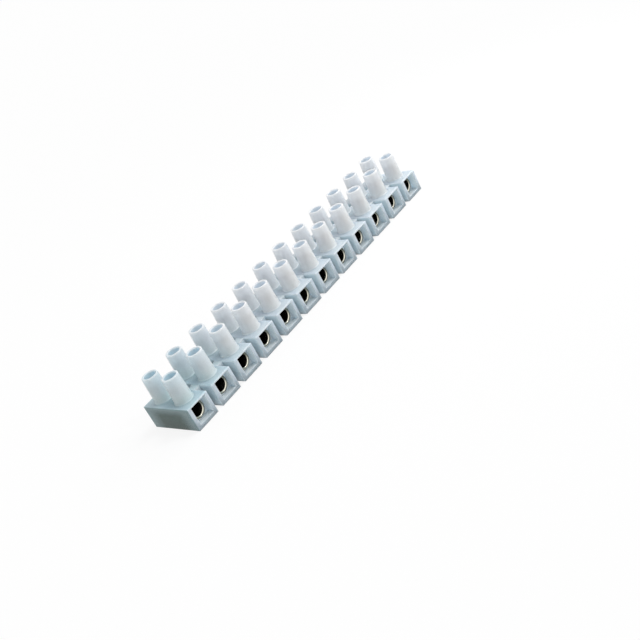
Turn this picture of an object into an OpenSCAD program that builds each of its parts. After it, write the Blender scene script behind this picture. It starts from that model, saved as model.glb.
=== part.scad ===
// Twelve-way screw terminal strip: one translucent moulding of blocks, webs and screw turrets,
// a brass barrel in every block, and two slotted clamping screws to each barrel.
// X runs along the strip, Y from the front wire entries to the rear ones, Z up from the base.
// The origin is the centre of the base. The screws are drawn backed out, clear of the wire bores.

/* [Strip] */
// Number of ways, each with one barrel and two screws
ways = 12; // [3:1:12]
// Distance from one way to the next
pitch = 10; // [9.4:0.1:12]
// Depth of the strip from front face to rear face
strip_depth = 18.5; // [17:0.5:24]

/* [Walls of the moulding] */
// Plastic between a barrel and the side of its block
side_wall = 1.47; // [1.2:0.01:1.6]
// Plastic between a barrel and the base
base_wall = 1.32; // [1.1:0.02:2]
// Plastic between a barrel and the top of its block
roof_wall = 0.72; // [0.6:0.02:1.2]
// Radius along the upper and upright edges of the blocks
block_rounding = 0.35; // [0.1:0.05:0.4]
// Radius along the edges at the base of the blocks
foot_rounding = 0.15; // [0.05:0.05:0.3]

/* [Webs] */
// Depth of the notches between the blocks, front and rear
notch_depth = 5.05; // [4:0.05:6]
// How far the top of the web lies under the top of the blocks
web_step = 0.2; // [0.1:0.1:1.5]
// Diameter of the fixing hole down through each web
fixing_hole_diameter = 2.8; // [2.2:0.1:3.6]

/* [Turrets] */
// Distance from the face of a block to the axis of the nearest turret
turret_inset = 5.03; // [4.6:0.01:5.4]
// Height of the turrets above the blocks
turret_height = 8; // [7.6:0.1:10]
// Thickness of a turret's wall at its rim
rim_wall = 0.6; // [0.45:0.05:0.7]
// How much thicker the wall is at the foot
turret_taper = 0.25; // [0.1:0.05:0.4]
// Radius of the flare round the foot of a turret
turret_flare = 0.55; // [0.2:0.05:0.7]
// Bevel inside and outside the rim
rim_bevel = 0.15; // [0.05:0.05:0.2]

/* [Wire entries] */
// Depth of an entry, from the face of the block to the end of the barrel
entry_depth = 2.3; // [0.8:0.05:2.6]
// Ledge between the barrel's hole and the walls of the entry
entry_ledge = 0.2; // [0.05:0.01:0.25]
// How much each wall of the entry leans out towards the face
entry_splay = 0.07; // [0.02:0.01:0.15]

/* [Barrels] */
// Diameter of the wire bore through a barrel
wire_bore_diameter = 3.9; // [3.2:0.1:4]
// Thickness of a barrel's wall
barrel_wall = 0.55; // [0.5:0.05:0.7]
// Bevel at the two mouths of the wire bore
bore_bevel = 0.2; // [0.05:0.05:0.3]

/* [Screws] */
// Diameter of the threaded holes in the barrels
thread_diameter = 3; // [2.6:0.1:3.2]
// Length of a screw under its head
shank_length = 5; // [4.6:0.1:5.4]
// Diameter of the head of a screw
head_diameter = 3.5; // [3.3:0.05:3.6]
// Height of the head
head_height = 1.8; // [1.4:0.1:2]
// Width of the driver slot
slot_width = 0.6; // [0.4:0.1:0.8]
// Depth of the driver slot
slot_depth = 0.9; // [0.6:0.1:1]
// Bevel round the top of the head
head_bevel = 0.2; // [0.1:0.05:0.3]
// Bevel round the tip of the screw
tip_bevel = 0.5; // [0.3:0.05:0.6]
// How much further the slot of each screw is turned than that of the way before it
slot_turn = 67; // [0:1:90]

/* [Fits] */
// Radial clearance of a screw in its barrel and of its head in the turret
screw_clearance = 0.05; // [0.02:0.01:0.08]
// Radial clearance of a barrel in its block
barrel_clearance = 0.03; // [0.01:0.01:0.06]
// Gap between the tip of a backed-out screw and the wire bore
tip_gap = 0.03; // [0.01:0.01:0.1]

/* [Hidden] */
$fn = 48;
// Overrun that carries a cut clear through a face
past = 1;
barrel_diameter = wire_bore_diameter + 2 * barrel_wall;
barrel_length = strip_depth - 2 * entry_depth;
barrel_hole_diameter = barrel_diameter + 2 * barrel_clearance;
barrel_axis_height = base_wall + barrel_hole_diameter / 2;
block_width = barrel_hole_diameter + 2 * side_wall;
block_height = base_wall + barrel_hole_diameter + roof_wall;
entry_inner_size = barrel_hole_diameter + 2 * entry_ledge;
entry_size = entry_inner_size + 2 * entry_splay;
turret_top = block_height + turret_height;
turret_bore_diameter = head_diameter + 2 * screw_clearance;
turret_rim_radius = turret_bore_diameter / 2 + rim_wall;
turret_foot_radius = turret_rim_radius + turret_taper;
shank_diameter = thread_diameter - 2 * screw_clearance;
screw_tip_height = barrel_axis_height + wire_bore_diameter / 2 + tip_gap;
web_depth = strip_depth - 2 * notch_depth;
web_height = block_height - web_step;
spine_length = (ways - 1) * pitch;
flare_steps = 4;
front = -1;
rear = 1;

// Place of a way along the strip, counted from 1
function way_x(way) = (way - (ways + 1) / 2) * pitch;

// Place of a row of turrets across the strip
function row_y(row) = row * (strip_depth / 2 - turret_inset);

// A rectangle that stands on the first axis, with round corners, of their own radius at the foot
module rounded_profile(width, height, corner, foot_corner) {
    for (side = [-1, 1]) {
        translate([side * (width / 2 - corner), height - corner]) circle(corner);
        translate([side * (width / 2 - foot_corner), foot_corner]) circle(foot_corner);
    }
    translate([-width / 2 + foot_corner, 0])
        square([width - 2 * foot_corner, height - corner]);
    translate([-width / 2, foot_corner])
        square([width, height - corner - foot_corner]);
    translate([-width / 2 + corner, foot_corner])
        square([width - 2 * corner, height - foot_corner]);
}

// A block with round edges, where three extrusions meet: seen from above, the front and the end
module block() {
    intersection() {
        translate([0, -strip_depth / 2, 0])
            linear_extrude(height = block_height)
                rounded_profile(block_width, strip_depth, block_rounding, block_rounding);
        rotate([90, 0, 0])
            linear_extrude(height = strip_depth, center = true)
                rounded_profile(block_width, block_height, block_rounding, foot_rounding);
        rotate([90, 0, 90])
            linear_extrude(height = block_width, center = true)
                rounded_profile(strip_depth, block_height, block_rounding, foot_rounding);
    }
}

// A turret, tapered from its flared foot to its bevelled rim
module turret() {
    flare = [
        for (step = [0 : flare_steps])
            let (turn = 90 * step / flare_steps)
                [
                    turret_foot_radius + turret_flare * (1 - sin(turn)),
                    block_height + turret_flare * (1 - cos(turn))
                ]
    ];
    rotate_extrude()
        polygon(concat(
            [
                [0, block_height - block_rounding],
                [turret_foot_radius + turret_flare, block_height - block_rounding]
            ],
            flare,
            [
                [turret_rim_radius, turret_top - rim_bevel],
                [turret_rim_radius - rim_bevel, turret_top],
                [0, turret_top]
            ]
        ));
}

// The bore of a turret, from the barrel up to its bevelled mouth
module turret_bore() {
    translate([0, 0, barrel_axis_height])
        cylinder(h = turret_top - barrel_axis_height + past, d = turret_bore_diameter);
    translate([0, 0, turret_top - rim_bevel])
        cylinder(
            h = 2 * rim_bevel,
            d1 = turret_bore_diameter,
            d2 = turret_bore_diameter + 4 * rim_bevel
        );
}

// Outline of an entry seen along one side: narrow at the barrel, wide at the face and beyond
module entry_outline() {
    outer = entry_size / 2 + entry_splay * past / entry_depth;
    inner = entry_inner_size / 2;
    back = barrel_length / 2;
    polygon([
        [-inner, -back],
        [-outer, -strip_depth / 2 - past],
        [outer, -strip_depth / 2 - past],
        [inner, -back]
    ]);
}

// The square, slightly tapered entry in the front face of a block, on the barrel's own axis
module entry() {
    intersection() {
        linear_extrude(height = entry_size + 2 * past, center = true) entry_outline();
        rotate([0, 90, 0])
            linear_extrude(height = entry_size + 2 * past, center = true) entry_outline();
    }
}

// The barrel's hole through a block, with an entry at each end
module wire_way() {
    translate([0, 0, barrel_axis_height]) {
        rotate([90, 0, 0])
            cylinder(h = barrel_length + past / 2, d = barrel_hole_diameter, center = true);
        entry();
        rotate([0, 0, 180]) entry();
    }
}

// The moulding: blocks, the spine whose visible stretches are the webs, and turrets
module housing() {
    color([0.8, 0.85, 0.88])
        difference() {
            union() {
                translate([-spine_length / 2, -web_depth / 2, 0])
                    cube([spine_length, web_depth, web_height]);
                for (way = [1 : ways])
                    translate([way_x(way), 0, 0]) {
                        block();
                        for (row = [front, rear])
                            translate([0, row_y(row), 0]) turret();
                    }
            }
            for (way = [1 : ways])
                translate([way_x(way), 0, 0]) {
                    wire_way();
                    for (row = [front, rear])
                        translate([0, row_y(row), 0]) turret_bore();
                }
            for (way = [1 : ways - 1])
                translate([way_x(way) + pitch / 2, 0, -past])
                    cylinder(h = block_height + 2 * past, d = fixing_hole_diameter);
        }
}

// A brass barrel with its bevelled wire bore and its two threaded holes
module barrel(way) {
    color([0.8, 0.76, 0.62])
        translate([way_x(way), 0, barrel_axis_height])
            difference() {
                rotate([90, 0, 0])
                    cylinder(h = barrel_length, d = barrel_diameter, center = true);
                rotate([90, 0, 0])
                    cylinder(h = barrel_length + past, d = wire_bore_diameter, center = true);
                for (end = [0, 180])
                    rotate([0, 0, end])
                        translate([0, -barrel_length / 2, 0])
                            rotate([90, 0, 0])
                                translate([0, 0, -bore_bevel])
                                    cylinder(
                                        h = 2 * bore_bevel,
                                        d1 = wire_bore_diameter,
                                        d2 = wire_bore_diameter + 4 * bore_bevel
                                    );
                for (row = [front, rear])
                    translate([0, row_y(row), 0])
                        cylinder(h = barrel_diameter, d = thread_diameter);
            }
}

// A slotted screw with a cylindrical head, standing on its tip
module screw() {
    tip = shank_diameter / 2 - tip_bevel;
    head = head_diameter / 2;
    top = shank_length + head_height;
    difference() {
        rotate_extrude()
            polygon([
                [0, 0],
                [tip, 0],
                [shank_diameter / 2, tip_bevel],
                [shank_diameter / 2, shank_length],
                [head, shank_length],
                [head, top - head_bevel],
                [head - head_bevel, top],
                [0, top]
            ]);
        translate([-head_diameter, -slot_width / 2, top - slot_depth])
            cube([2 * head_diameter, slot_width, slot_depth + past]);
    }
}

// The screw of one way in one row, backed out so that its tip clears the wire bore
module placed_screw(way, row) {
    color([0.75, 0.76, 0.76])
        translate([way_x(way), row_y(row), screw_tip_height])
            rotate([0, 0, slot_turn * (way + row / 2)])
                screw();
}

housing();
for (way = [1 : ways]) {
    barrel(way);
    placed_screw(way, front);
    placed_screw(way, rear);
}
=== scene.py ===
import math

import bmesh
import bpy
from mathutils import Matrix, Vector


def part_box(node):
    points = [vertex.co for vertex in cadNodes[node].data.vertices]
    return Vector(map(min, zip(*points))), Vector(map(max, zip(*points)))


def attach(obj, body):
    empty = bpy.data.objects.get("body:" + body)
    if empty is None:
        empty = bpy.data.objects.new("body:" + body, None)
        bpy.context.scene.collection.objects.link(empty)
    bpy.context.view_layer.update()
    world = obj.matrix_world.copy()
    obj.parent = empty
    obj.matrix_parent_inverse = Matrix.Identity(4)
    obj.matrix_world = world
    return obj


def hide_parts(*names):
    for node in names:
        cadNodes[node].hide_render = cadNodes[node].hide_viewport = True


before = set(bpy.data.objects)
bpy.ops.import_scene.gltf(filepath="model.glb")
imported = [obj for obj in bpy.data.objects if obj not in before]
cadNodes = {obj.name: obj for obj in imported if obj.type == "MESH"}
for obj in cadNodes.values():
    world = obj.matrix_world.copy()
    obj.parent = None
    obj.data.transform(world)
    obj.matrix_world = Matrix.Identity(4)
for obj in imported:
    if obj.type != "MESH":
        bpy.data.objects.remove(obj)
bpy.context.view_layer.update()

mm = 0.001
print("frame loaded:", len(cadNodes), "nodes")


# sizes that the boxes of the pieces don't tell
moulding = {
    "turretHeight": 8 * mm,
    "turretBoreRadius": 1.8 * mm,
    "wireBoreRadius": 1.95 * mm,
    "entryMargin": 0.3 * mm,  # from the outside of a barrel to the wall of its square entry
}

# places on the strip, worked out from the frame
stripLow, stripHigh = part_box("housing")
blockTop = stripHigh.z - moulding["turretHeight"]
barrelLow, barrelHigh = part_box("barrel_1")
barrelAxisHeight = (barrelLow.z + barrelHigh.z) / 2
barrelRadius = (barrelHigh.z - barrelLow.z) / 2
barrelHalfLength = (barrelHigh.y - barrelLow.y) / 2
entryHalfSize = barrelRadius + moulding["entryMargin"]
screwLow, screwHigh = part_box("rear_screw_1")
turretRowY = (screwLow.y + screwHigh.y) / 2
ways = sum(name.startswith("barrel_") for name in cadNodes)
firstWayX = (barrelLow.x + barrelHigh.x) / 2
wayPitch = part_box("barrel_2")[0].x - barrelLow.x
blockHalfWidth = stripHigh.x - (ways - 1) * wayPitch / 2


def addObject(name, data):
    made = bpy.data.objects.new(name, data)
    bpy.context.scene.collection.objects.link(made)
    return made


# helpers for shader trees, where a value is a number, a colour or another node's output
def setInput(tree, socket, value):
    if isinstance(value, bpy.types.NodeSocket):
        tree.links.new(value, socket)
    else:
        socket.default_value = value


def mathNode(tree, operation, *values):
    node = tree.nodes.new("ShaderNodeMath")
    node.operation = operation
    for socket, value in zip(node.inputs, values):
        setInput(tree, socket, value)
    return node.outputs[0]


def mapRange(tree, value, fromMin, fromMax, toMin, toMax, kind="LINEAR"):
    node = tree.nodes.new("ShaderNodeMapRange")
    node.interpolation_type = kind
    for label, number in (("Value", value), ("From Min", fromMin), ("From Max", fromMax),
                          ("To Min", toMin), ("To Max", toMax)):
        setInput(tree, node.inputs[label], number)
    return node.outputs["Result"]


def smoothStep(tree, value, start, end):
    # 0 below start, 1 above end, and a smooth rise between them
    return mapRange(tree, value, start, end, 0, 1, "SMOOTHSTEP")


def smoothFall(tree, value, start, end):
    # 1 below start, 0 above end
    return mathNode(tree, "SUBTRACT", 1, smoothStep(tree, value, start, end))


def inside(tree, value, start, end):
    # 1 between start and end, 0 outside them, with a narrow soft edge
    edge = 0.05 * mm
    risen = smoothStep(tree, value, start - edge, start)
    fallen = smoothStep(tree, value, end, end + edge)
    return mathNode(tree, "SUBTRACT", risen, fallen)


def lengthOf(tree, first, second):
    # length of a flat vector with these two parts
    squares = [mathNode(tree, "MULTIPLY", part, part) for part in (first, second)]
    return mathNode(tree, "SQRT", mathNode(tree, "ADD", *squares))


def distanceTo(tree, value, level):
    return mathNode(tree, "ABSOLUTE", mathNode(tree, "SUBTRACT", value, level))


def mixColours(tree, mask, low, high):
    # low where the mask is 0, high where it is 1
    node = tree.nodes.new("ShaderNodeMix")
    node.data_type = "RGBA"
    setInput(tree, node.inputs["Factor"], mask)
    setInput(tree, node.inputs[6], low)  # 6 and 7 are the colours A and B of this node
    setInput(tree, node.inputs[7], high)
    return node.outputs[2]


def vectorNode(tree, operation, *values):
    node = tree.nodes.new("ShaderNodeVectorMath")
    node.operation = operation
    for socket, value in zip(node.inputs, values):
        setInput(tree, socket, value)
    return node


def splitPlace(tree):
    # X, Y and Z of the point shaded, measured on its own object
    place = tree.nodes.new("ShaderNodeTexCoord")
    split = tree.nodes.new("ShaderNodeSeparateXYZ")
    tree.links.new(place.outputs["Object"], split.inputs[0])
    return split.outputs


def seenDirectly(tree):
    # 1 for rays from the camera, a mirror or a clear body
    path = tree.nodes.new("ShaderNodeLightPath")
    total = path.outputs["Is Camera Ray"]
    for name in ("Is Glossy Ray", "Is Transmission Ray"):
        total = mathNode(tree, "MAXIMUM", total, path.outputs[name])
    return total


studio = {
    "cameraLens": 56.4,
    "cameraSensor": 36,
    "cameraClip": (0.01, 100),
    "cameraTarget": (-12.0 * mm, -16.6 * mm, 0.1 * mm),
    "cameraDistance": 280 * mm,
    "cameraAzimuth": 40.3,
    "cameraElevation": 25.8,
    "cameraRoll": 28.0,
    "floorSize": 24.0,
    "floorGap": 0.02 * mm,  # keeps the floor from meeting the base of the strip
    "floorColour": (1, 1, 1, 1),
    "floorBounce": (0.75, 0.75, 0.75, 1),  # what the object gets back from the floor
    "floorShadow": 0.15,  # how much of the floor's own shading shows through the white
    "worldDim": 0.34,
    "worldBright": 0.86,
    "worldBrightSide": (0.9, -0.3, 0.3),
    "keyPower": 0.8,
    "keySoftness": 16.0,
    "keyFrom": (0.4, -0.3, 0.85),
    "frontPower": 0.3,
    "frontSoftness": 8.0,
    "frontFrom": (0.5, -0.65, 0.55),
    "endPower": 0.042,
    "endSize": 0.1,
    "endFrom": (0.12, -0.03, 0.1),
}


def makeCamera():
    azimuth = math.radians(studio["cameraAzimuth"])
    elevation = math.radians(studio["cameraElevation"])
    across = math.cos(elevation)
    ahead = Vector((math.sin(azimuth) * across, math.cos(azimuth) * across, -math.sin(elevation)))
    upright = ahead.to_track_quat("-Z", "Y").to_matrix()
    leaning = upright @ Matrix.Rotation(math.radians(-studio["cameraRoll"]), 3, "Z")
    data = bpy.data.cameras.new("camera")
    data.lens = studio["cameraLens"]
    data.sensor_width = studio["cameraSensor"]
    data.clip_start, data.clip_end = studio["cameraClip"]
    camera = addObject("camera", data)
    place = Vector(studio["cameraTarget"]) - ahead * studio["cameraDistance"]
    camera.matrix_world = Matrix.Translation(place) @ leaning.to_4x4()
    bpy.context.scene.camera = camera


def makeLamp(name, kind):
    # the lamp stands where its values say and points at the middle of the strip
    data = bpy.data.lights.new(name + "Lamp", kind)
    data.energy = studio[name + "Power"]
    lamp = addObject(name + "Lamp", data)
    lamp.location = Vector(studio[name + "From"])
    lamp.rotation_mode = "QUATERNION"
    lamp.rotation_quaternion = (-lamp.location).to_track_quat("-Z", "Y")
    lamp.visible_camera = False
    return data


def makeLamps():
    # two broad lamps far off, which light the whole floor evenly, and one near the last way
    makeLamp("key", "SUN").angle = math.radians(studio["keySoftness"])
    makeLamp("front", "SUN").angle = math.radians(studio["frontSoftness"])
    end = makeLamp("end", "AREA")
    end.shape = "DISK"
    end.size = studio["endSize"]


def makeFloor():
    half = studio["floorSize"] / 2
    mesh = bpy.data.meshes.new("studioFloor")
    corners = [(-half, -half, 0), (half, -half, 0), (half, half, 0), (-half, half, 0)]
    mesh.from_pydata(corners, [], [(0, 1, 2, 3)])
    floor = addObject("studioFloor", mesh)
    floor.location.z = stripLow.z - studio["floorGap"]
    material = bpy.data.materials.new("studioFloor")
    material.use_nodes = True
    tree = material.node_tree
    tree.nodes.clear()
    out = tree.nodes.new("ShaderNodeOutputMaterial")
    diffuse = tree.nodes.new("ShaderNodeBsdfDiffuse")
    seen = seenDirectly(tree)
    tone = mixColours(tree, seen, studio["floorBounce"], studio["floorColour"])
    tree.links.new(tone, diffuse.inputs["Color"])
    white = tree.nodes.new("ShaderNodeEmission")
    mix = tree.nodes.new("ShaderNodeMixShader")
    whiteShare = mathNode(tree, "MULTIPLY", seen, 1 - studio["floorShadow"])
    tree.links.new(whiteShare, mix.inputs["Fac"])
    tree.links.new(diffuse.outputs[0], mix.inputs[1])
    tree.links.new(white.outputs[0], mix.inputs[2])
    tree.links.new(mix.outputs[0], out.inputs["Surface"])
    mesh.materials.append(material)


def makeWorld():
    # soft light from all round, weaker from beyond the first way than from beyond the last
    world = bpy.data.worlds.new("studio")
    world.use_nodes = True
    bpy.context.scene.world = world
    tree = world.node_tree
    background = tree.nodes["Background"]
    background.inputs["Color"].default_value = (1, 1, 1, 1)
    sky = tree.nodes.new("ShaderNodeTexCoord").outputs["Generated"]
    brightSide = Vector(studio["worldBrightSide"]).normalized()
    toward = vectorNode(tree, "DOT_PRODUCT", sky, brightSide).outputs["Value"]
    soft = mapRange(tree, toward, -1, 1, studio["worldDim"], studio["worldBright"])
    strength = mapRange(tree, seenDirectly(tree), 0, 1, soft, 1)
    tree.links.new(strength, background.inputs["Strength"])


bpy.context.scene.view_settings.view_transform = "Standard"
makeCamera()
makeLamps()
makeFloor()
makeWorld()
print("studio made")


screw = {
    "segments": 48,
    "threadPitch": 0.5 * mm,
    "threadDepth": 0.28 * mm,
    "threadDiameter": 2.88 * mm,
    "stepsPerTurn": 6,  # rows of the mesh along one pitch of the thread
    "tipBevel": 0.5 * mm,
    "headHeight": 1.8 * mm,
    "headDiameter": 3.46 * mm,
    "headRounding": 0.22 * mm,
    "headRoundingSteps": 3,
    "slotWidth": 0.6 * mm,
    "slotDepth": 0.9 * mm,
    "slotTurn": 67.0,  # degrees from one screw's slot to the next
    "edgeRounding": 0.04 * mm,
    "edgeRoundingSteps": 2,
    "roundAbove": 40.0,  # sharper corners than this, in degrees, get the edge rounding
    "sharpAbove": 35.0,  # corners that are shaded as edges
    "weldDistance": 0.0005 * mm,
}


def lathe(profile, segments):
    # closed skin of revolution through (radius, height) points that start and end on the axis
    form = bmesh.new()
    turns = [2 * math.pi * step / segments for step in range(segments)]
    rings = [
        [form.verts.new((radius * math.cos(t), radius * math.sin(t), height)) for t in turns]
        for radius, height in profile[1:-1]
    ]
    for low, high in zip(rings, rings[1:]):
        for step in range(segments):
            after = (step + 1) % segments
            form.faces.new((low[step], low[after], high[after], high[step]))
    form.faces.new(list(reversed(rings[0])))
    form.faces.new(rings[-1])
    return form


def meshFrom(form, name):
    bmesh.ops.recalc_face_normals(form, faces=form.faces)
    mesh = bpy.data.meshes.new(name)
    form.to_mesh(mesh)
    form.free()
    return mesh


def makeHead(height):
    # turned head from its underside to its top, with the driver slot cut across it
    radius, rounding = screw["headDiameter"] / 2, screw["headRounding"]
    top = height + screw["headHeight"]
    steps = screw["headRoundingSteps"]
    turns = [math.radians(90 * step / steps) for step in range(steps + 1)]
    shoulder = [
        (radius - rounding * (1 - math.cos(t)), top - rounding * (1 - math.sin(t))) for t in turns
    ]
    profile = [(0, height), (radius, height), *shoulder, (0, top)]
    head = addObject("screwHead", meshFrom(lathe(profile, screw["segments"]), "screwHead"))
    cutter = bmesh.new()
    bmesh.ops.create_cube(cutter, size=1)
    size = (screw["headDiameter"] * 2, screw["slotWidth"], screw["slotDepth"] * 2)
    bmesh.ops.scale(cutter, vec=size, verts=cutter.verts)
    bmesh.ops.translate(cutter, vec=(0, 0, top), verts=cutter.verts)
    slot = addObject("screwSlot", meshFrom(cutter, "screwSlot"))
    cut = head.modifiers.new("slot", "BOOLEAN")
    cut.operation = "DIFFERENCE"
    cut.object = slot
    edge = head.modifiers.new("edge", "BEVEL")
    edge.width = screw["edgeRounding"]
    edge.segments = screw["edgeRoundingSteps"]
    edge.limit_method = "ANGLE"
    edge.angle_limit = math.radians(screw["roundAbove"])
    evaluated = head.evaluated_get(bpy.context.evaluated_depsgraph_get())
    mesh = bpy.data.meshes.new_from_object(evaluated)
    bpy.data.objects.remove(head)
    bpy.data.objects.remove(slot)
    return mesh


def makeThread(length):
    # rows of points climb along the helix, so that crests and roots run along the mesh's own
    # edges; the rows past an end are squeezed into one ring there
    segments, steps = screw["segments"], screw["stepsPerTurn"]
    pitch, depth = screw["threadPitch"], screw["threadDepth"]
    crest, tip = screw["threadDiameter"] / 2, screw["tipBevel"]
    rows = int(round(length / pitch + 2)) * steps  # one turn more at each end
    form = bmesh.new()
    grid = []
    for row in range(rows + 1):
        ring = []
        for step in range(segments):
            turn = step / segments
            height = min(max((row / steps + turn - 1) * pitch, 0), length)
            flank = abs((height / pitch + 1 - turn) % 1 * 2 - 1)
            radius = min(crest - depth * flank, crest - tip + height)
            angle = turn * 2 * math.pi
            point = (radius * math.cos(angle), radius * math.sin(angle), height)
            ring.append(form.verts.new(point))
        grid.append(ring)
    for row in range(rows):
        for step in range(segments):
            after = (step + 1) % segments
            climb = steps if after == 0 else 0  # the last column joins the first a turn higher
            low, high = row + climb, row + 1 + climb
            if high <= rows:
                corners = grid[row][step], grid[low][after], grid[high][after], grid[row + 1][step]
                form.faces.new(corners)
    bmesh.ops.remove_doubles(form, verts=form.verts, dist=screw["weldDistance"])
    bmesh.ops.holes_fill(form, edges=form.edges, sides=0)
    return meshFrom(form, "screwThread")


def makeScrewMesh(length):
    # head and threaded shank in one closed skin, standing on the tip
    form = bmesh.new()
    for part in (makeHead(length), makeThread(length)):
        form.from_mesh(part)
        bpy.data.meshes.remove(part)

    def isCap(face):
        # the flat of the head or of the shank where the two meet
        closeBy = 0.01 * mm
        atJoint = abs(face.calc_center_median().z - length) < closeBy
        return atJoint and len(face.verts) >= screw["segments"]

    caps = [face for face in form.faces if isCap(face)]
    bmesh.ops.delete(form, geom=caps, context="FACES_ONLY")
    bmesh.ops.bridge_loops(form, edges=[edge for edge in form.edges if edge.is_boundary])
    openEdges = sum(not edge.is_manifold for edge in form.edges)
    print("screw skin:", len(caps), "caps opened,", openEdges, "open edges left")
    mesh = meshFrom(form, "slottedScrew")
    for face in mesh.polygons:
        face.use_smooth = True
    mesh.set_sharp_from_angle(angle=math.radians(screw["sharpAbove"]))
    return mesh


def placeScrews():
    low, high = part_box("front_screw_1")
    mesh = makeScrewMesh(high.z - low.z - screw["headHeight"])
    pieces = []
    for way in range(1, ways + 1):
        for row, side in (("front", -0.5), ("rear", 0.5)):
            node = f"{row}_screw_{way}"
            low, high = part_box(node)
            piece = addObject(f"{row}SlottedScrew{way}", mesh)
            piece.location = ((low.x + high.x) / 2, (low.y + high.y) / 2, low.z)
            piece.rotation_euler.z = math.radians(screw["slotTurn"] * (way + side))
            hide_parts(node)
            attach(piece, node)
            pieces.append(piece)
    return pieces


screws = placeScrews()
print("screws made:", len(screws))


# effects that more than one material uses
def newGroup(name, inputs, outputs):
    group = bpy.data.node_groups.new(name, "ShaderNodeTree")
    sockets = group.interface
    for label, value in inputs.items():
        made = sockets.new_socket(name=label, in_out="INPUT", socket_type="NodeSocketFloat")
        made.default_value = value
    for label in outputs:
        sockets.new_socket(name=label, in_out="OUTPUT", socket_type="NodeSocketFloat")
    given = group.nodes.new("NodeGroupInput").outputs
    return group, given, group.nodes.new("NodeGroupOutput").inputs


def noiseIn(group, scale, detail):
    place = group.nodes.new("ShaderNodeTexCoord")
    noise = group.nodes.new("ShaderNodeTexNoise")
    noise.inputs["Detail"].default_value = detail
    group.links.new(place.outputs["Object"], noise.inputs["Vector"])
    group.links.new(scale, noise.inputs["Scale"])
    return noise.outputs["Fac"]


def makeCloudGroup():
    # slow patches around 1: clouding in the plastic, uneven plating on the metal
    group, given, made = newGroup("clouding", {"Scale": 400, "Amount": 0.05}, ["Shade"])
    centred = mathNode(group, "SUBTRACT", noiseIn(group, given["Scale"], detail=3), 0.5)
    swing = mathNode(group, "MULTIPLY", centred, given["Amount"])
    group.links.new(mathNode(group, "MULTIPLY_ADD", swing, 2, 1), made["Shade"])
    return group


def makeGrainGroup():
    # fine unevenness of a moulded or plated skin, for bump and roughness
    group, given, made = newGroup("skinGrain", {"Scale": 6000}, ["Height"])
    group.links.new(noiseIn(group, given["Scale"], detail=2), made["Height"])
    return group


def makeTurningGroup():
    # fine rings that a lathe leaves, one for each spacing of the reach
    inputs = {"Reach": 0, "Spacing": 0.1 * mm}
    group, given, made = newGroup("turningMarks", inputs, ["Height"])
    rings = mathNode(group, "DIVIDE", given["Reach"], given["Spacing"])
    wave = mathNode(group, "SINE", mathNode(group, "MULTIPLY", rings, 2 * math.pi))
    group.links.new(wave, made["Height"])
    return group


def makeBarrelGroup():
    # how far a point lies from the nearest barrel's axis, from the middle of its length,
    # sideways from its middle plane, and from the axis of the nearest turret
    outputs = ["Across", "Along", "Sideways", "FromTurret"]
    group, given, made = newGroup("nearestBarrel", {}, outputs)
    place = splitPlace(group)
    fromFirst = mathNode(group, "SUBTRACT", place["X"], firstWayX)
    sideways = mathNode(group, "WRAP", fromFirst, wayPitch / 2, -wayPitch / 2)
    upward = mathNode(group, "SUBTRACT", place["Z"], barrelAxisHeight)
    along = mathNode(group, "ABSOLUTE", place["Y"])
    fromRow = mathNode(group, "SUBTRACT", along, turretRowY)
    group.links.new(lengthOf(group, sideways, upward), made["Across"])
    group.links.new(along, made["Along"])
    group.links.new(mathNode(group, "ABSOLUTE", sideways), made["Sideways"])
    group.links.new(lengthOf(group, sideways, fromRow), made["FromTurret"])
    return group


clouding = makeCloudGroup()
skinGrain = makeGrainGroup()
turningMarks = makeTurningGroup()
nearestBarrel = makeBarrelGroup()
print("shared effects made")


def placeGroup(tree, group, **values):
    node = tree.nodes.new("ShaderNodeGroup")
    node.node_tree = group
    for label, value in values.items():
        setInput(tree, node.inputs[label], value)
    return node.outputs


def newMaterial(name):
    material = bpy.data.materials.new(name)
    material.use_nodes = True
    tree = material.node_tree
    return material, tree, tree.nodes["Principled BSDF"]


def finishSkin(tree, shader, colour, values):
    # clouding over the colour and grain in the roughness; gives back the grain's height
    cloud = placeGroup(tree, clouding, Scale=values["cloudScale"], Amount=values["cloudAmount"])
    shaded = vectorNode(tree, "SCALE", colour)
    tree.links.new(cloud["Shade"], shaded.inputs["Scale"])
    tree.links.new(shaded.outputs[0], shader.inputs["Base Color"])
    grain = placeGroup(tree, skinGrain, Scale=values["grainScale"])["Height"]
    swing = values["roughnessSwing"]
    rough = mathNode(tree, "MULTIPLY_ADD", grain, swing, values["roughness"] - swing / 2)
    tree.links.new(rough, shader.inputs["Roughness"])
    return grain


def addBump(tree, shader, height, depth, strength):
    bump = tree.nodes.new("ShaderNodeBump")
    bump.inputs["Strength"].default_value = strength
    bump.inputs["Distance"].default_value = depth
    tree.links.new(height, bump.inputs["Height"])
    tree.links.new(bump.outputs["Normal"], shader.inputs["Normal"])


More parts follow.
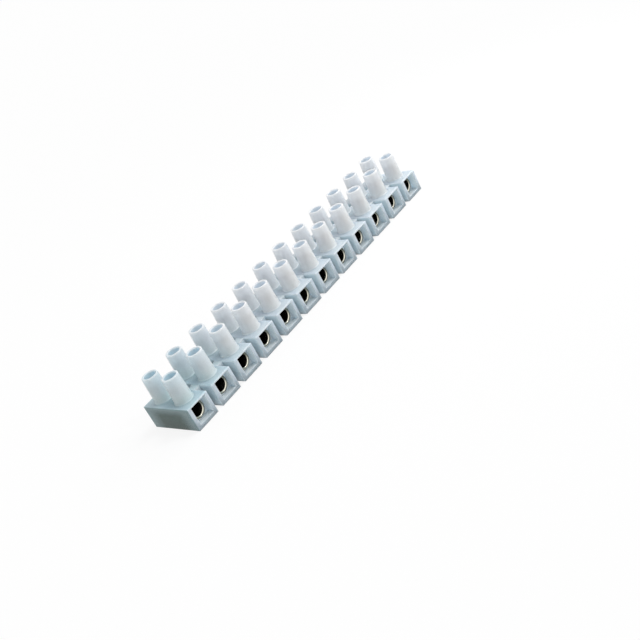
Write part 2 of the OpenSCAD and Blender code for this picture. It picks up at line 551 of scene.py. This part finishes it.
milkyPlastic = {
    "blockColour": (0.56, 0.64, 0.71, 1),
    "lowShadeColour": (0.33, 0.39, 0.43, 1),
    "lowReach": 0.7,  # share of a block's height over which the painted low shade fades out
    "wallGlowColour": (0.62, 0.71, 0.76, 1),
    "endShadeColour": (0.23, 0.34, 0.36, 1),
    "endSkin": (0.2 * mm, 0.6 * mm),  # depth in which a point belongs to an end face
    "webLightColour": (0.74, 0.82, 0.86, 1),
    "entryLightColour": (0.73, 0.82, 0.88, 1),
    "entryLip": 0.15 * mm,
    "faceTurn": (0.6, 0.9),  # how squarely a face has to look along an axis to count
    "metalAndShadeColour": (0.015, 0.08, 0.065, 1),
    "metalAndShadeInWalls": 0.35,
    "metalAndShadeOnTop": 0.28,
    "metalFadeUp": (0.2, 1.3),  # these three in radii or half lengths of a barrel
    "metalFadeAcross": (0.5, 1.5),
    "metalFadeAlong": (0.5, 1.2),
    # painted light on the turrets, their fillets and rims
    "footLightColour": (0.84, 0.9, 0.92, 1),
    "footFade": (-0.05 * mm, 0.5 * mm),  # heights over the blocks
    "turretLightColour": (0.86, 0.9, 0.99, 1),
    "turretRise": 0.6,  # share of a turret's height at which its colour is full
    "filletHighlightColour": (0.84, 0.9, 0.93, 1),
    "filletCentre": 0.36 * mm,  # height over the blocks at which the painted fillet highlight is full
    "filletFade": (0.12 * mm, 0.3 * mm),  # from there up and down
    # painted shade inside the turret bores
    "boreColour": (0.68, 0.77, 0.88, 1),
    "rimHighlightColour": (0.86, 0.9, 1.0, 1),
    "rimHeight": 0.5 * mm,
    "firstEndShade": (0.78, 0.89, 0.89, 1),
    "firstEndReach": 40 * mm,
    "firstEndDepth": (0.4 * mm, 0.1 * mm),  # from under the top of the blocks the painted shade sets in
    "roughness": 0.28,
    "roughnessSwing": 0.12,
    "cloudScale": 260,
    "cloudAmount": 0.06,
    "grainScale": 5200,
    "grainDepth": 0.008 * mm,
    "grainStrength": 0.5,
    "scatterRadius": (1.0, 1.0, 1.0),
    "scatterScale": 2 * mm,
    "refraction": 1.53,
}


def colourBlocks(tree, place, barrel):
    values = milkyPlastic
    normal = tree.nodes.new("ShaderNodeNewGeometry").outputs["Normal"]
    facing = tree.nodes.new("ShaderNodeSeparateXYZ")
    tree.links.new(normal, facing.inputs[0])
    height = place["Z"]
    turnedAside = mathNode(tree, "ABSOLUTE", facing.outputs["X"])
    sideways = smoothStep(tree, turnedAside, *values["faceTurn"])
    upward = smoothStep(tree, facing.outputs["Z"], *values["faceTurn"])
    # darker towards the bottom of the blocks: painted shade, partly also the dark metal seen
    # through the wall
    low = smoothFall(tree, height, 0, blockTop * values["lowReach"])
    colour = mixColours(tree, low, values["blockColour"], values["lowShadeColour"])

    # painted glow on the thin walls between the blocks, and painted shade on the two end walls,
    # which have only shade behind them
    nearSkin, deepSkin = values["endSkin"]
    fromMiddle = mathNode(tree, "ABSOLUTE", place["X"])
    outermost = smoothStep(tree, fromMiddle, stripHigh.x - deepSkin, stripHigh.x - nearSkin)
    wall = mixColours(tree, outermost, values["wallGlowColour"], values["endShadeColour"])
    colour = mixColours(tree, sideways, colour, wall)
    # painted light on the web in the narrow gaps between the blocks, where shade would fall
    softEdge = 0.1 * mm
    between = smoothStep(tree, barrel["Sideways"], blockHalfWidth, blockHalfWidth + softEdge)
    colour = mixColours(tree, between, colour, values["webLightColour"])
    # painted light inside the square entry in front of each barrel's end
    fromAxis = distanceTo(tree, height, barrelAxisHeight)
    reach = mathNode(tree, "MAXIMUM", barrel["Sideways"], fromAxis)
    behindLip = stripHigh.y - values["entryLip"]
    inEntry = mathNode(tree, "MULTIPLY", inside(tree, barrel["Along"], barrelHalfLength, behindLip),
                       inside(tree, reach, 0, entryHalfSize))
    colour = mixColours(tree, inEntry, colour, values["entryLightColour"])

    # a soft dark patch where the metal lies behind a side wall or under the top: partly the dark
    # metal seen through, partly painted shade, strongest on the two end walls
    start, end = (barrelAxisHeight + barrelRadius * share for share in values["metalFadeUp"])
    beside = mathNode(tree, "MULTIPLY", sideways, smoothFall(tree, height, start, end))
    inWalls = values["metalAndShadeInWalls"]
    depth = mathNode(tree, "MULTIPLY_ADD", outermost, 1 - inWalls, inWalls)
    beside = mathNode(tree, "MULTIPLY", beside, depth)
    start, end = (barrelRadius * share for share in values["metalFadeAcross"])
    above = mathNode(tree, "MULTIPLY", smoothFall(tree, barrel["Sideways"], start, end), upward)
    above = mathNode(tree, "MULTIPLY", above, values["metalAndShadeOnTop"])
    start, end = (barrelHalfLength * share for share in values["metalFadeAlong"])
    covered = smoothFall(tree, barrel["Along"], start, end)
    patch = mathNode(tree, "MULTIPLY", mathNode(tree, "ADD", beside, above), covered)
    return mixColours(tree, patch, colour, values["metalAndShadeColour"])


def colourTurrets(tree, colour, place, barrel):
    # painted light: the turrets are coloured lighter than the blocks, their feet and rims most of
    # all, with a painted highlight along the fillet and painted shade in the bore
    values = milkyPlastic
    height = place["Z"]
    footStart, footTop = (blockTop + rise for rise in values["footFade"])
    turret = smoothStep(tree, height, footStart, footTop)
    colour = mixColours(tree, turret, colour, values["footLightColour"])
    full = blockTop + moulding["turretHeight"] * values["turretRise"]
    upper = smoothStep(tree, height, footTop, full)
    colour = mixColours(tree, upper, colour, values["turretLightColour"])
    # painted highlight along the fillet at the turret's foot
    fromCentre = distanceTo(tree, height, blockTop + values["filletCentre"])
    filletHighlight = smoothFall(tree, fromCentre, *values["filletFade"])
    colour = mixColours(tree, filletHighlight, colour, values["filletHighlightColour"])
    # painted shade inside the turret's bore
    skin, softEdge = 0.03 * mm, 0.1 * mm
    withinBore = inside(tree, barrel["FromTurret"], 0, moulding["turretBoreRadius"] + skin)
    overBlock = smoothStep(tree, height, blockTop, blockTop + softEdge)
    inBore = mathNode(tree, "MULTIPLY", withinBore, overBlock)
    colour = mixColours(tree, inBore, colour, values["boreColour"])
    # painted highlight on the rim
    rimHighlight = smoothStep(tree, height, stripHigh.z - values["rimHeight"], stripHigh.z)
    return mixColours(tree, rimHighlight, colour, values["rimHighlightColour"])


def shadeFirstEnd(tree, colour, place):
    # painted shade: the turrets and the tops of the blocks are coloured darker and greener towards
    # the first way
    values = milkyPlastic
    start, end = (blockTop - depth for depth in values["firstEndDepth"])
    nearby = smoothFall(tree, place["X"], stripLow.x, stripLow.x + values["firstEndReach"])
    deeper = mathNode(tree, "MULTIPLY", nearby, smoothStep(tree, place["Z"], start, end))
    firstEndShading = mixColours(tree, deeper, (1, 1, 1, 1), values["firstEndShade"])
    return vectorNode(tree, "MULTIPLY", colour, firstEndShading).outputs[0]


def makeMilkyPlastic():
    values = milkyPlastic
    material, tree, shader = newMaterial("milkyPlastic")
    place = splitPlace(tree)
    barrel = placeGroup(tree, nearestBarrel)
    colour = colourBlocks(tree, place, barrel)
    colour = colourTurrets(tree, colour, place, barrel)
    colour = shadeFirstEnd(tree, colour, place)
    grain = finishSkin(tree, shader, colour, values)
    addBump(tree, shader, grain, values["grainDepth"], values["grainStrength"])
    shader.inputs["IOR"].default_value = values["refraction"]
    shader.inputs["Subsurface Weight"].default_value = 1
    shader.inputs["Subsurface Radius"].default_value = values["scatterRadius"]
    shader.inputs["Subsurface Scale"].default_value = values["scatterScale"]
    return material


dullNickel = {
    "faceColour": (0.3, 0.31, 0.26, 1),
    "bevelColour": (0.85, 0.82, 0.7, 1),
    # painted shade on the upper half of the bevel
    "upperBevelShade": (0.2, 0.2, 0.16, 1),
    "upperBevelShadeFade": (-1.3 * mm, 0.6 * mm),  # heights over the barrel's axis
    "bevelWidth": 0.22 * mm,
    "bevelSoftness": 0.022 * mm,
    "boreColour": (0.7, 0.68, 0.58, 1),
    # painted shade deep in the bore
    "depthShadeColour": (0.015, 0.014, 0.012, 1),
    "depthShadeFade": (0.6 * mm, 2.2 * mm),
    "roughness": 0.16,
    "roughnessSwing": 0.2,
    "cloudScale": 700,
    "cloudAmount": 0.12,
    "grainScale": 4000,
    "ringSpacing": 0.12 * mm,
    "ringDepth": 0.002 * mm,
    "ringStrength": 0.6,
}


def makeDullNickel():
    # bright bevel at the mouth with painted shade over its upper half, dull end face round it, and
    # painted shade that darkens the bore with depth
    values = dullNickel
    material, tree, shader = newMaterial("dullNickel")
    barrel = placeGroup(tree, nearestBarrel)
    bevelWidth, softEdge = values["bevelWidth"], values["bevelSoftness"]
    bevelEdge = moulding["wireBoreRadius"] + bevelWidth
    atMouth = smoothFall(tree, barrel["Across"], bevelEdge - softEdge, bevelEdge)
    # painted shade over the upper half of the bevel
    start, end = (barrelAxisHeight + rise for rise in values["upperBevelShadeFade"])
    upper = smoothStep(tree, splitPlace(tree)["Z"], start, end)
    bevel = mixColours(tree, upper, values["bevelColour"], values["upperBevelShade"])
    colour = mixColours(tree, atMouth, values["faceColour"], bevel)
    inward = mathNode(tree, "SUBTRACT", barrelHalfLength, barrel["Along"])
    inBore = smoothStep(tree, inward, bevelWidth - softEdge, bevelWidth + softEdge)
    colour = mixColours(tree, inBore, colour, values["boreColour"])
    # painted shade, darker the deeper into the bore
    depthShade = smoothStep(tree, inward, *values["depthShadeFade"])
    colour = mixColours(tree, depthShade, colour, values["depthShadeColour"])
    finishSkin(tree, shader, colour, values)
    # the marks run round the axis on the end faces, and round the bore along its length
    reach = mathNode(tree, "ADD", barrel["Across"], barrel["Along"])
    marks = placeGroup(tree, turningMarks, Reach=reach, Spacing=values["ringSpacing"])
    addBump(tree, shader, marks["Height"], values["ringDepth"], values["ringStrength"])
    shader.inputs["Metallic"].default_value = 1
    return material


zincPlate = {
    "colour": (0.66, 0.68, 0.7, 1),
    "slotShadeColour": (0.3, 0.31, 0.32, 1),
    "slotFade": (0.45, 0.6),  # from the middle of the slot, in slot widths
    "roughness": 0.305,
    "roughnessSwing": 0.25,
    "cloudScale": 900,
    "cloudAmount": 0.15,
    "grainScale": 5000,
    "ringSpacing": 0.16 * mm,
    "ringDepth": 0.005 * mm,
    "ringStrength": 0.5,
}


def makeZincPlate():
    values = zincPlate
    material, tree, shader = newMaterial("zincPlate")
    place = splitPlace(tree)
    # painted shade in the driver slot
    start, end = (screw["slotWidth"] * share for share in values["slotFade"])
    inSlot = smoothFall(tree, mathNode(tree, "ABSOLUTE", place["Y"]), start, end)
    colour = mixColours(tree, inSlot, values["colour"], values["slotShadeColour"])
    finishSkin(tree, shader, colour, values)
    reach = lengthOf(tree, place["X"], place["Y"])
    marks = placeGroup(tree, turningMarks, Reach=reach, Spacing=values["ringSpacing"])
    addBump(tree, shader, marks["Height"], values["ringDepth"], values["ringStrength"])
    shader.inputs["Metallic"].default_value = 1
    return material


plastic = makeMilkyPlastic()
nickel = makeDullNickel()
zinc = makeZincPlate()
finishes = {"housing": plastic, "barrel": nickel}
for name, node in cadNodes.items():
    node.data.materials.clear()
    node.data.materials.append(finishes.get(name.split("_")[0], zinc))
screws[0].data.materials.append(zinc)  # all the screws share one mesh
print("materials made")
